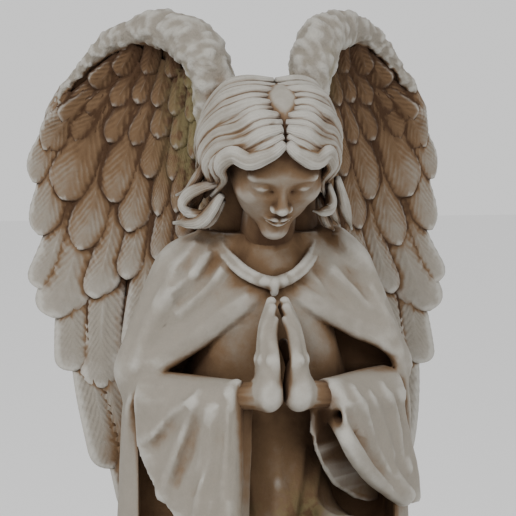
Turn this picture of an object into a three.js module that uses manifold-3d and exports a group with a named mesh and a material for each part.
// Cemetery angel statue: a robed, winged figure kneeling on one knee with hands in prayer, cast in one with a low base.
// Millimetres, +Z up. The figure faces -Y and the origin is the centre of the underside.
// Every form is first described as a field: a function of a point that gives its distance from the surface, in mm and
// negative inside. wrap() then shrinks a closed mesh onto the field, and the forms are joined into one casting.
import * as THREE from "three";
import { mergeVertices } from "three/addons/utils/BufferGeometryUtils.js";
import Module from "manifold-3d";

const { PI, abs, cos, exp, hypot, max, min, pow, sin } = Math;

// Driving dimensions
const BASE = { halfWidth: 118, halfDepth: 136, height: 26, rim: 5 };
const WAIST = [0, 4, 284];
const CHEST = [0, -2, 368];
const KNOT = [0, -38, 394];
const NECK = [0, -10, 424];
const HEAD = { at: [0, -46, 490], tilt: 0.66 };
const RAISED_KNEE = [45, -84, 210];
const RAISED_FOOT = [50, -96, BASE.height + 12];
const GROUND_KNEE = [-46, -64, BASE.height + 36];
const HIP_X = 35;
const ELBOW = [92, -12, 322];
const WRIST = [22, -80, 322];
const FINGERTIPS = [0, -54, 388];
const WING = { rootX: 22, span: 163, top: 587, tip: 150, sheet: 9, sweep: 0.7 };

const lerp = THREE.MathUtils.lerp;
const smoothstep = THREE.MathUtils.smoothstep;

// ---- Fields ----------------------------------------------------------------------------------------------------

const egg = ([x, y, z], [rx, ry, rz]) => (p) => {
  const near = hypot((p[0] - x) / rx, (p[1] - y) / ry, (p[2] - z) / rz);
  const slope = hypot((p[0] - x) / rx ** 2, (p[1] - y) / ry ** 2, (p[2] - z) / rz ** 2);
  return slope < 1e-9 ? -min(rx, ry, rz) : (near * (near - 1)) / slope;
};

const limb = (a, b, ra, rb = ra) => {
  const along = b.map((v, i) => v - a[i]);
  const length2 = along.reduce((sum, v) => sum + v * v, 0) || 1;
  return (p) => {
    const dot = along.reduce((sum, v, i) => sum + v * (p[i] - a[i]), 0);
    const t = min(max(dot / length2, 0), 1);
    return hypot(...a.map((v, i) => p[i] - v - along[i] * t)) - lerp(ra, rb, t);
  };
};

// A tapering cord through the points: radii are spread evenly along it.
const cord = (points, radii, steps = 4 * (points.length - 1)) => {
  const curve = new THREE.CatmullRomCurve3(points.map((v) => new THREE.Vector3(...v)));
  const at = curve.getPoints(steps).map((v) => v.toArray());
  const radius = (i) => {
    const s = (i / steps) * (radii.length - 1);
    const k = min(Math.floor(s), radii.length - 2);
    return lerp(radii[k], radii[k + 1], s - k);
  };
  const bends = either(0, ...at.slice(1).map((b, i) => limb(at[i], b, radius(i), radius(i + 1))));
  const ball = new THREE.Box3().setFromPoints(at.map((v) => new THREE.Vector3(...v))).getBoundingSphere(new THREE.Sphere());
  const reach = ball.radius + max(...radii);
  return (p) => {
    const clear = hypot(p[0] - ball.center.x, p[1] - ball.center.y, p[2] - ball.center.z) - reach;
    return clear > 25 ? clear : bends(p);
  };
};

// A standing column with elliptical sections: each station is [z, centre y, half width, half depth].
const column = (stations) => (p) => {
  const last = stations.length - 1;
  let k = 0;
  while (k < last - 1 && p[2] > stations[k + 1][0]) k += 1;
  const [z0, y0, w0, d0] = stations[k];
  const [z1, y1, w1, d1] = stations[k + 1];
  const t = min(max((p[2] - z0) / (z1 - z0), 0), 1);
  const [y, w, d] = [lerp(y0, y1, t), lerp(w0, w1, t), lerp(d0, d1, t)];
  const side = (hypot(p[0] / w, (p[1] - y) / d) - 1) * min(w, d);
  return max(side, stations[0][0] - p[2], p[2] - stations[last][0]);
};

const smoothMin = (k, a, b) => {
  const h = k > 0 ? max(k - abs(a - b), 0) / k : 0;
  return min(a, b) - (h * h * k) / 4;
};
function either(k, ...fields) {
  return (p) => fields.reduce((near, field) => smoothMin(k, near, field(p)), 1e9);
}
const without = (k, body, ...tools) => (p) =>
  tools.reduce((near, tool) => -smoothMin(k, -near, tool(p)), body(p));

// The y where a line through (x, z) first meets the field, coming from the front (-1) or the back (+1).
function surfaceY(field, x, z, side = -1) {
  let y = 200;
  for (let gap = 1; gap > 0 && y > -120; y -= max(gap * 0.5, 0.5)) gap = field([x, side * y, z]);
  return y > -120 ? side * y : NaN;
}
// Folds are drawn on the front or back elevation as [x, z] points, and lie half sunk in the surface there.
const fold = (field, points, radii, sink = 0.4, side = -1) => {
  const laid = points.map(([x, z]) => [x, surfaceY(field, x, z, side) - side * sink * max(...radii), z]);
  return cord(laid.filter(([, y]) => !Number.isNaN(y)), radii);
};
const folds = (field, drawn, side) => drawn.map(([points, radii]) => fold(field, points, radii, 0.45, side));

// ---- Turning fields into solids ----------------------------------------------------------------------------------

// Shrinks a closed geometry onto a field: each vertex slides towards its anchor until it is inside.
function wrap(geometry, anchor, field) {
  const at = geometry.attributes.position;
  const p = new THREE.Vector3();
  for (let i = 0; i < at.count; i += 1) {
    p.fromBufferAttribute(at, i);
    const from = p.clone();
    const to = anchor(p);
    const length = from.distanceTo(to);
    const clearance = (d) => field(p.lerpVectors(from, to, d / length).toArray());
    let near = 0;
    let far = 0;
    for (let gap = 1; far < length && gap > 0;) {
      gap = clearance(far);
      if (gap > 0) [near, far] = [far, far + max(gap * 0.5, 0.8)];
    }
    far = min(far, length);
    for (let k = 0; k < 6 && length > 0; k += 1) {
      const middle = (near + far) / 2;
      if (clearance(middle) < 0) far = middle;
      else near = middle;
    }
    if (length > 0) p.lerpVectors(from, to, far / length);
    at.setXYZ(i, p.x, p.y, p.z);
  }
  return geometry;
}

// Bends a closed cylinder along a curve. section(t) gives [half width, half height] there, and lobes cut grooves along it.
function sweep(points, section, sides, steps, up = new THREE.Vector3(0, 0, 1)) {
  const curve = new THREE.CatmullRomCurve3(points.map((v) => new THREE.Vector3(...v)));
  const geometry = new THREE.CylinderGeometry(1, 1, 1, sides, steps);
  const at = geometry.attributes.position;
  for (let i = 0; i < at.count; i += 1) {
    const t = at.getY(i) + 0.5;
    const centre = curve.getPoint(t);
    const along = curve.getTangent(t);
    const across = new THREE.Vector3().crossVectors(up, along).normalize();
    const over = new THREE.Vector3().crossVectors(along, across);
    const [half, high] = section(t);
    centre.addScaledVector(across, at.getX(i) * half).addScaledVector(over, at.getZ(i) * high);
    at.setXYZ(i, centre.x, centre.y, centre.z);
  }
  return geometry;
}

const wasm = await Module();
wasm.setup();

function solid(geometry) {
  const bare = geometry.clone();
  bare.deleteAttribute("normal");
  bare.deleteAttribute("uv");
  const merged = mergeVertices(bare, 1e-3);
  const made = new wasm.Manifold(
    new wasm.Mesh({
      numProp: 3,
      vertProperties: new Float32Array(merged.attributes.position.array),
      triVerts: new Uint32Array(merged.index.array),
    }),
  );
  return made.volume() < 0 ? solid(turned(geometry)) : made;
}
// The same geometry with each face turned round, for shapes that a mirroring has left inside out.
function turned(geometry) {
  const flat = geometry.index ? geometry.toNonIndexed() : geometry.clone();
  const at = flat.attributes.position;
  for (let i = 0; i < at.count; i += 3) {
    const b = [at.getX(i + 1), at.getY(i + 1), at.getZ(i + 1)];
    at.setXYZ(i + 1, at.getX(i + 2), at.getY(i + 2), at.getZ(i + 2));
    at.setXYZ(i + 2, ...b);
  }
  return flat;
}
const join = (solids) => solids.reduce((whole, piece) => whole.add(piece));

// ---- Robe, legs and mantle -----------------------------------------------------------------------------------------

const legs = either(
  24,
  egg([0, 26, 150], [80, 62, 92]),
  limb([HIP_X, 10, 196], RAISED_KNEE, 44, 29),
  limb(RAISED_KNEE, RAISED_FOOT, 28, 25),
  limb([-HIP_X, 10, 190], GROUND_KNEE, 46, 34),
  limb(GROUND_KNEE, [-42, 84, 58], 34, 32),
  limb([0, -60, 60], [0, 60, 50], 40, 60),
  limb([18, -78, 150], [6, -74, 52], 30, 38),
  limb([0, -66, 34], [0, 60, 34], 52, 60),
);

const torso = either(
  16,
  limb(WAIST, CHEST, 42, 44),
  limb([-40, 0, 396], [40, 0, 396], 26),
  egg([-20, -24, 350], [20, 17, 22]),
  egg([20, -24, 350], [20, 17, 22]),
  limb([0, 2, 400], NECK, 26, 19),
);
const blouse = column([
  [279, 0, 56, 42],
  [300, -2, 55, 41],
  [330, -2, 50, 36],
]);

const robe = either(10, legs, limb([0, 8, 215], WAIST, 56, 42), torso);

// The front edge of the mantle: its height at x, from the knot out to the elbows.
const edgeHeight = (x) =>
  KNOT[2] - abs(x) * (x < 0 ? 0.86 : 0.62) + x * x * (x < 0 ? 0.002 : 0.0012);
const MANTLE_FRONT = -4;
const MANTLE_OPENING = 90;

const mantleBody = either(
  12,
  column([
    [BASE.height - 12, 30, 113, 84],
    [120, 20, 108, 76],
    [200, 8, 104, 60],
    [260, 0, 102, 46],
    [308, -2, 100, 42],
    [338, -2, 96, 40],
    [359, 0, 87, 39],
    [383, 1, 79, 38],
    [410, 2, 66, 34],
    [434, 2, 44, 28],
  ]),
  limb([-52, 2, 404], [-84, -6, 340], 25, 20),
  limb([52, 2, 404], [84, -6, 340], 25, 20),
);
const opening = (p) =>
  max(
    (p[2] - edgeHeight(p[0])) * 0.8,
    p[1] - lerp(30, MANTLE_FRONT, smoothstep(p[2], 20, 250)),
    abs(p[0]) - MANTLE_OPENING,
  );

// Hem of the mantle: along the slanting front edge and down each side.
const hem = [-1, 1].map((side) => {
  const slant = [4, 22, 44, 66, 82].map((x) => [side * x, edgeHeight(side * x) + 2]);
  const top = slant.map(([x, z]) => [x, surfaceY(mantleBody, x, z) - 0.5, z]);
  const outer = side < 0 ? 95 : 100;
  return [...top, [side * 95, -14, edgeHeight(side * 95) - 8], [side * outer, -8, 300],
    [side * outer, -4, 232], [side * 103, 12, 130], [side * 100, 32, BASE.height + 2]];
});
const HEM_RADIUS = 4.6;
// The rolled edge round the neck, from the knot to each shoulder.
const COLLAR = [
  [-38, 4, 432], [-35, -14, 424], [-28, -27, 412], [-16, -36, 400], [0, -39, 394],
  [16, -36, 400], [28, -27, 412], [35, -14, 424], [38, 4, 432],
];

const MANTLE_FOLDS = [
  [[[-30, 428], [-36, 412], [-58, 388], [-74, 366]], [3, 6, 5, 2]],
  [[[-34, 420], [-50, 396], [-66, 368]], [2, 4, 2]],
  [[[-24, 398], [-42, 384], [-60, 368]], [2, 6, 3]],
  [[[34, 412], [48, 396], [66, 379], [80, 364]], [3, 5, 5, 3]],
  [[[38, 428], [52, 424], [64, 412], [72, 396]], [4, 7, 7, 3]],
  [[[22, 398], [40, 390], [56, 378]], [3, 5, 2]],
];
const BACK_FOLDS = [-80, -52, -22, 12, 44, 76].map((x, i) => [
  [[x * 0.42, 400], [x * 0.8, 300], [x * 1.04, 170], [x * 1.14, BASE.height + 4]],
  [3, 7 + (i % 2) * 2, 10, 12 - (i % 3)],
]);

const mantle = either(
  3,
  without(3, mantleBody, opening),
  ...folds(mantleBody, MANTLE_FOLDS, -1),
  ...folds(mantleBody, BACK_FOLDS, 1),
);

const SKIRT_FOLDS = [
  [[[40, 236], [14, 190], [-2, 120], [-8, BASE.height + 4]], [6, 8, 9, 11]],
  [[[48, 226], [36, 160], [26, 90], [18, BASE.height + 4]], [4, 7, 8, 10]],
  [[[52, 226], [54, 160], [58, 96], [62, BASE.height + 6]], [4, 6, 8, 10]],
  [[[62, 220], [78, 170], [88, 100], [92, BASE.height + 4]], [5, 7, 8, 9]],
  [[[-14, 232], [-20, 160], [-24, 90], [-30, BASE.height + 4]], [4, 7, 8, 10]],
  [[[-34, 210], [-46, 150], [-52, 86], [-58, BASE.height + 4]], [4, 7, 9, 10]],
  [[[-62, 200], [-76, 140], [-84, 84], [-88, BASE.height + 4]], [4, 7, 8, 9]],
  [[[6, 262], [10, 244], [-2, 216]], [2, 5, 4]],
];
const skirt = either(6, robe, ...folds(robe, SKIRT_FOLDS, -1));
const foot = egg([RAISED_FOOT[0] + 2, -112, BASE.height + 10], [17, 20, 12]);
const figure = either(2, skirt, blouse, mantle, foot);

// ---- Sleeves --------------------------------------------------------------------------------------------------------

// A sleeve hangs from the forearm as a slab that follows it. hang(t) is its lower edge from elbow (0) to cuff (1).
function sleeve(side, hang, drawn) {
  const [ex, ey, ez] = [side * ELBOW[0], ELBOW[1], ELBOW[2]];
  const [wx, wy] = [side * WRIST[0], WRIST[1]];
  const length = hypot(wx - ex, wy - ey);
  const dir = [(wx - ex) / length, (wy - ey) / length];
  const flare = (z) => (side > 0 ? 0.14 * smoothstep(ez - z, 0, 70) : 0);
  const drape = (p) => {
    const t = ((p[0] - ex) * dir[0] + (p[1] - ey) * dir[1]) / length;
    const off = abs((p[0] - ex) * dir[1] - (p[1] - ey) * dir[0]);
    const low = hang(min(max(t, 0), 1));
    const thick = lerp(16, 12, smoothstep(ez - p[2], 0, 90));
    return max(off - thick, (low - p[2]) * 0.8, p[2] - ez, (t - 1.03) * length, -(t + 0.04 + flare(p[2])) * length);
  };
  const arm = limb([ex, ey, ez], [wx, wy, WRIST[2] - 2], 19, 15);
  const body = either(8, arm, drape);
  const field = either(4, body, ...folds(body, drawn, -1));
  // A cylinder flattened round the slab, whose rows run from the lower edge to the top of the arm.
  const geometry = new THREE.CylinderGeometry(1, 1, 1, 18, 8).rotateX(PI / 2);
  const at = geometry.attributes.position;
  const ring = at.count;
  const anchors = [];
  for (let i = 0; i < ring; i += 1) {
    const t = 0.47 + at.getX(i) * 0.7;
    const z = lerp(hang(min(max(t, 0), 0.96)) + 1, ez + 17, at.getZ(i) + 0.5);
    const core = min(max(t, -flare(z)), 0.96);
    const off = at.getY(i) * 45;
    anchors.push(new THREE.Vector3(ex + dir[0] * core * length, ey + dir[1] * core * length, min(z, ez + 8)));
    at.setXYZ(i, ex + dir[0] * t * length - dir[1] * off, ey + dir[1] * t * length + dir[0] * off, z);
  }
  let next = 0;
  return wrap(geometry, () => anchors[next++], field);
}

const LEFT_SLEEVE_FOLDS = [
  [[[-26, 322], [-27, 270], [-29, 205]], [5, 6, 7]],
  [[[-40, 326], [-42, 280], [-44, 206]], [3, 6, 7]],
  [[[-54, 318], [-56, 280], [-60, 222]], [3, 6, 6]],
  [[[-60, 320], [-68, 290], [-78, 246]], [3, 5, 5]],
  [[[-62, 324], [-78, 300], [-90, 284]], [3, 5, 5]],
];
const RIGHT_SLEEVE_FOLDS = [
  [[[28, 322], [38, 294], [60, 260], [88, 240]], [5, 7, 7, 5]],
  [[[46, 328], [60, 306], [74, 272], [92, 246]], [4, 5, 5, 4]],
  [[[76, 322], [86, 300], [91, 262]], [4, 5, 4]],
];
const leftSleeve = sleeve(-1, (t) => 302 - 98 * pow(max(t, 0), 0.55), LEFT_SLEEVE_FOLDS);
const rightSleeve = sleeve(1, (t) => 235 + 76 * pow(min(max(t / 0.8, 0), 1), 2.2), RIGHT_SLEEVE_FOLDS);

// ---- Hands ------------------------------------------------------------------------------------------------------------

const FINGER_LENGTHS = [0.8, 0.94, 1, 0.9];
function hand(side) {
  const palm = either(
    5,
    egg([side * 8, -75, 338], [7.5, 13, 22]),
    limb([side * 9, -80, 322], [side * 20, -80, 318], 11, 13),
  );
  const fingers = FINGER_LENGTHS.map((length, i) => {
    const across = (i - 1.5) * 6;
    const knuckle = [side * 8.5, -72 + across, 348];
    const tip = [side * 3.4, FINGERTIPS[1] + across * 0.55, lerp(348, FINGERTIPS[2], length)];
    const middle = [side * 8.5, (knuckle[1] + tip[1]) / 2 - 1, (knuckle[2] + tip[2]) / 2];
    return cord([knuckle, middle, tip], [4.2, 4, 3.1], 4);
  });
  const thumb = cord([[side * 10, -62, 330], [side * 8, -57, 346], [side * 4.5, -54, 358]], [5, 4, 3.2], 4);
  return either(4, palm, thumb, ...fingers);
}

// ---- Head and hair ----------------------------------------------------------------------------------------------------

// A point of the head's own frame, whose -Y looks out of the face, in the frame of the statue.
function fromHead([x, y, z]) {
  const [c, s] = [cos(HEAD.tilt), sin(HEAD.tilt)];
  return [HEAD.at[0] + x, HEAD.at[1] + y * c - z * s, HEAD.at[2] + y * s + z * c];
}
function toHead(p) {
  const [c, s] = [cos(HEAD.tilt), sin(HEAD.tilt)];
  const [x, y, z] = p.map((v, i) => v - HEAD.at[i]);
  return [x, y * c + z * s, -y * s + z * c];
}
const face = without(
  3,
  either(
    6,
    egg([0, 0, 8], [33, 38, 42]),
    egg([0, -12, -14], [27, 27, 34]),
    egg([0, -30, -41], [10, 9, 8]),
    limb([0, -38, 6], [0, -46, -12], 2.5, 4),
    egg([0, -37, -25], [9, 4, 4]),
  ),
  egg([13, -43, 0], [8, 6, 5]),
  egg([-13, -43, 0], [8, 6, 5]),
);

// Locks leave the parting, cross the temple and fall past the ear, rank running from the brow (0) to the nape (1).
const LOCKS = 4;
function lockPath(side, rank) {
  return [
    [side * 2, lerp(-33, 16, rank), lerp(39, 52, smoothstep(rank, -0.2, 0.8))],
    [side * lerp(20, 24, rank), lerp(-35, 14, rank), lerp(31, 44, smoothstep(rank, 0, 0.8))],
    [side * lerp(34, 41, rank), lerp(-26, 16, rank), lerp(14, 22, rank)],
    [side * lerp(37, 43, rank), lerp(-20, 22, rank), lerp(-8, -2, rank)],
    [side * lerp(40, 34, rank), lerp(-10, 28, rank), lerp(-30, -28, rank)],
  ];
}
const hairCap = either(6, egg([0, 6, 12], [38, 42, 41]), limb([0, 22, -22], [0, 20, 0], 26, 34));

// Locks that leave the head and lie on the shoulders.
const SHOULDER_LOCKS = [
  [[-40, -48, 470], [-44, -36, 454], [-54, -24, 444], [-62, -16, 440]],
  [[-38, -38, 462], [-42, -28, 448], [-50, -22, 438], [-58, -20, 436]],
  [[40, -46, 470], [44, -34, 454], [52, -24, 442], [58, -20, 434]],
  [[38, -36, 462], [42, -26, 446], [48, -18, 434]],
];

// ---- Wings ------------------------------------------------------------------------------------------------------------

// The wing is drawn flat, as p outwards from its root and z up, and h is the height above the sheet, towards the front.
const WING_ARM = [
  [2, 380], [1, 450], [1.5, 500], [4, 535], [14, 556], [32, 569], [58, 574],
  [84, 570], [103, 560], [118, 547], [131, 532], [140, 516],
];
const WING_ARM_RADII = [13, 13.5, 14, 14.5, 15, 14.5, 12.5, 10, 8, 6.5, 5, 4];
const wingArmCurve = new THREE.CatmullRomCurve3(WING_ARM.map(([p, z]) => new THREE.Vector3(p, 0, z)));
const wingArmPoints = wingArmCurve.getPoints(48);
const armRadius = (t) => {
  const s = t * (WING_ARM_RADII.length - 1);
  const k = min(Math.floor(s), WING_ARM_RADII.length - 2);
  return lerp(WING_ARM_RADII[k], WING_ARM_RADII[k + 1], s - k);
};
// The cupped sheet: its rim stands forward under the arm and its floor lies back.
function cup(p, z) {
  const near = min(...wingArmPoints.map((v) => hypot(v.x - p, v.z - z)));
  const floor = -9 * sin(PI * min(max(p / WING.span, 0), 1)) * smoothstep(z, 200, 420);
  return floor + 12 * exp(-((near / 20) ** 2)) * smoothstep(z, 250, 400);
}
function wingPoint(side, p, z, h) {
  const sweepAngle = lerp(0.02, WING.sweep, smoothstep(z, 255, 455));
  const root = [WING.rootX, lerp(lerp(70, 38, smoothstep(z, 120, 300)), 16, smoothstep(z, 290, 450))];
  const off = cup(p, z) + h;
  return [
    side * (root[0] + p * cos(sweepAngle) + off * sin(sweepAngle)),
    root[1] + p * sin(sweepAngle) - off * cos(sweepAngle),
    z,
  ];
}
// The outer edge of the wing, [z, p], going up.
const WING_EDGE = [
  [150, 30], [170, 42], [200, 58], [233, 74], [271, 88], [294, 95], [316, 102], [338, 112], [361, 124],
  [383, 138], [417, 154], [450, 165], [475, 165], [506, 160], [529, 148], [551, 125], [571, 96], [583, 66],
];
function sheetOutline(z) {
  let k = 0;
  while (k < WING_EDGE.length - 2 && z > WING_EDGE[k + 1][0]) k += 1;
  const t = (z - WING_EDGE[k][0]) / (WING_EDGE[k + 1][0] - WING_EDGE[k][0]);
  const outer = lerp(WING_EDGE[k][1], WING_EDGE[k + 1][1], t) - 6;
  return [min(z > 540 ? 2 + (z - 540) * 1.1 : 2, outer - 6), outer];
}

// Rows of feathers, from the shoulder to the tip. from and to are the tips of the first and last feather of a row.
const FEATHER_ROWS = [
  { count: 5, from: [36, 530], to: [124, 528], sag: -10, length: [34, 42], width: [20, 26], lean: [0.2, 0.75] },
  { count: 5, from: [30, 504], to: [150, 498], sag: -6, length: [40, 62], width: [21, 32], lean: [0.15, 0.7] },
  { count: 5, from: [30, 474], to: [158, 462], sag: 4, length: [42, 66], width: [22, 38], lean: [0.1, 0.45] },
  { count: 4, from: [34, 440], to: [150, 424], sag: 8, length: [50, 72], width: [26, 42], lean: [0.05, 0.25] },
  { count: 4, from: [44, 402], to: [126, 374], sag: -2, length: [76, 108], width: [30, 40], lean: [0, 0.06] },
  { count: 5, from: [20, 176], to: [82, 256], sag: 8, length: [150, 150], width: [26, 30], lean: [0, -0.22] },
];
// One row of feathers as a single strip: each feather is crowned along its middle and ends in a rounded tip.
function featherRow(side, { count, from, to, sag, length, width, lean }, rank) {
  const strip = new THREE.BoxGeometry(1, 1, 1, 2 * count, 1, 3);
  const at = strip.attributes.position;
  for (let i = 0; i < at.count; i += 1) {
    const place = (at.getX(i) + 0.5) * count - 0.5;
    const f = place / (count - 1);
    const crown = abs(cos(PI * place));
    const s = [0, 0.45, 0.8, 1][Math.round((at.getZ(i) + 0.5) * 3)];
    const back = lerp(...length, f) * (1 - s) + (1 - crown) * 0.42 * lerp(...width, f) * s;
    const turn = lerp(...lean, f);
    const p = lerp(from[0], to[0], f) - back * sin(turn);
    const z = lerp(from[1], to[1], f) - sag * sin(PI * min(max(f, 0), 1)) + back * cos(turn);
    const proud = 1.5 + s * (7.5 - 0.5 * rank) - (s > 0.9 ? 1.5 : 0) - (1 - crown) * 2.6;
    at.setXYZ(i, ...wingPoint(side, p, z, at.getY(i) > 0 ? proud : -3));
  }
  return strip;
}
function wing(side) {
  const sheet = new THREE.BoxGeometry(1, 1, 1, 5, 1, 9);
  const at = sheet.attributes.position;
  for (let i = 0; i < at.count; i += 1) {
    const z = lerp(WING.tip + 18, WING.top - 14, at.getZ(i) + 0.5);
    const [inner, outer] = sheetOutline(z);
    at.setXYZ(i, ...wingPoint(side, lerp(inner, outer, at.getX(i) + 0.5), z, at.getY(i) * WING.sheet - 4));
  }
  const armPath = WING_ARM.map(([p, z]) => wingPoint(side, p, z, -2));
  const arm = sweep(armPath, (t) => [armRadius(t), armRadius(t)], 6, 16, new THREE.Vector3(0, 1, 0));
  const feathers = FEATHER_ROWS.map((row, rank) => featherRow(side, row, rank));
  return join([sheet, arm, ...feathers].map(solid));
}

// ---- Base -------------------------------------------------------------------------------------------------------------

function base() {
  const { halfWidth, halfDepth, height, rim } = BASE;
  const outline = [...Array(26).keys()].map((i) => {
    const a = (i / 26) * 2 * PI;
    const round = (v, power) => Math.sign(v) * pow(abs(v), power);
    return new THREE.Vector2((halfWidth - rim) * round(cos(a), 0.7), (halfDepth - rim) * round(sin(a), 0.7));
  });
  return new THREE.ExtrudeGeometry(new THREE.Shape(outline), {
    depth: height - 2 * rim,
    bevelEnabled: true,
    bevelThickness: rim,
    bevelSize: rim,
    bevelSegments: 1,
  }).translate(0, 0, rim);
}

// ---- The cast -----------------------------------------------------------------------------------------------------------

// A cylinder round the figure, with its columns closer together at the front, for wrap().
function standingWrap(field, low, high, radius, sides, rows, axisY) {
  const geometry = new THREE.CylinderGeometry(radius, radius, 1, sides, rows).rotateX(PI / 2);
  const at = geometry.attributes.position;
  for (let i = 0; i < at.count; i += 1) {
    const z = lerp(low, high, pow(at.getZ(i) + 0.5, 0.8));
    const r = hypot(at.getX(i), at.getY(i));
    const angle = Math.atan2(at.getX(i), -at.getY(i));
    const turn = angle - 0.4 * sin(angle);
    at.setXYZ(i, r * sin(turn), axisY - r * cos(turn), z);
  }
  return wrap(geometry, (p) => new THREE.Vector3(0, axisY, p.z), field);
}
// A ball with its poles along an axis tilted back by tilt, shrunk onto a field about its centre.
function ballWrap(field, centre, radius, sides, rows, tilt = 0) {
  const at = new THREE.Vector3(...centre);
  const ball = new THREE.SphereGeometry(radius, sides, rows).rotateX(PI / 2 + tilt);
  return wrap(ball.translate(...centre), () => at, field);
}
const inHead = (field) => (p) => field(toHead(p));

const NAPE = [[0, -26, 488], [0, -4, 458], [0, 8, 424]];

const pieces = [
  solid(base()),
  solid(standingWrap(figure, BASE.height - 8, 432, 190, 42, 28, 6)),
  solid(leftSleeve),
  solid(rightSleeve),
  solid(ballWrap(hand(-1), [-8, -70, 344], 60, 9, 10)),
  solid(ballWrap(hand(1), [8, -70, 344], 60, 9, 10)),
  solid(ballWrap(inHead(hairCap), fromHead([0, 6, 2]), 90, 14, 8, HEAD.tilt)),
  solid(ballWrap(inHead(face), fromHead([0, -12, -8]), 70, 16, 13, HEAD.tilt)),
  ...[-1, 1].flatMap((side) =>
    [...Array(LOCKS).keys()].map((i) => {
      const path = lockPath(side, i / (LOCKS - 1)).map(fromHead);
      return solid(sweep(path, (t) => [6 + 7 * sin(PI * min(t + 0.1, 0.9)), 7 + 2 * t], 5, 5));
    }),
  ),
  solid(sweep([NECK, [0, -28, 446], fromHead([0, 4, -20])], () => [19, 20], 9, 3)),
  solid(sweep(NAPE, (t) => [30 + 14 * t, 22], 8, 3)),
  ...hem.map((path) => solid(sweep(path, () => [HEM_RADIUS, HEM_RADIUS], 5, 12))),
  solid(sweep(COLLAR, () => [3.6, 3.6], 5, 12)),
  solid(new THREE.SphereGeometry(1, 6, 4).scale(9, 5, 6).translate(KNOT[0], KNOT[1] - 1, KNOT[2])),
  ...SHOULDER_LOCKS.map((path) => solid(sweep(path, (t) => [9 - 5 * t, 7 - 4 * t], 5, 4))),
  wing(-1),
  wing(1),
];
const cast = join(pieces);

// The outer skin of a joined solid: pockets sealed inside it are filled, because the casting is solid stone.
function skinOf(manifold) {
  const mesh = manifold.getMesh();
  const [points, index] = [new Float32Array(mesh.vertProperties), new Uint32Array(mesh.triVerts)];
  const parent = [...Array(points.length / 3).keys()];
  const root = (i) => {
    while (parent[i] !== i) i = parent[i] = parent[parent[i]];
    return i;
  };
  for (let i = 0; i < index.length; i += 3) {
    parent[root(index[i])] = root(index[i + 1]);
    parent[root(index[i + 1])] = root(index[i + 2]);
  }
  let lowest = 0;
  for (let i = 0; i < points.length / 3; i += 1) if (points[3 * i + 2] < points[3 * lowest + 2]) lowest = i;
  const skin = [...index].filter((corner) => root(corner) === root(lowest));
  return new THREE.BufferGeometry()
    .setAttribute("position", new THREE.BufferAttribute(points, 3))
    .setIndex(skin);
}
const stone = new THREE.MeshStandardMaterial({ color: 0xc9c1b2, roughness: 0.85, metalness: 0 });
const statue = new THREE.Mesh(skinOf(cast), stone);
statue.name = "angel_statue";
const group = new THREE.Group();
group.add(statue);
export default group;
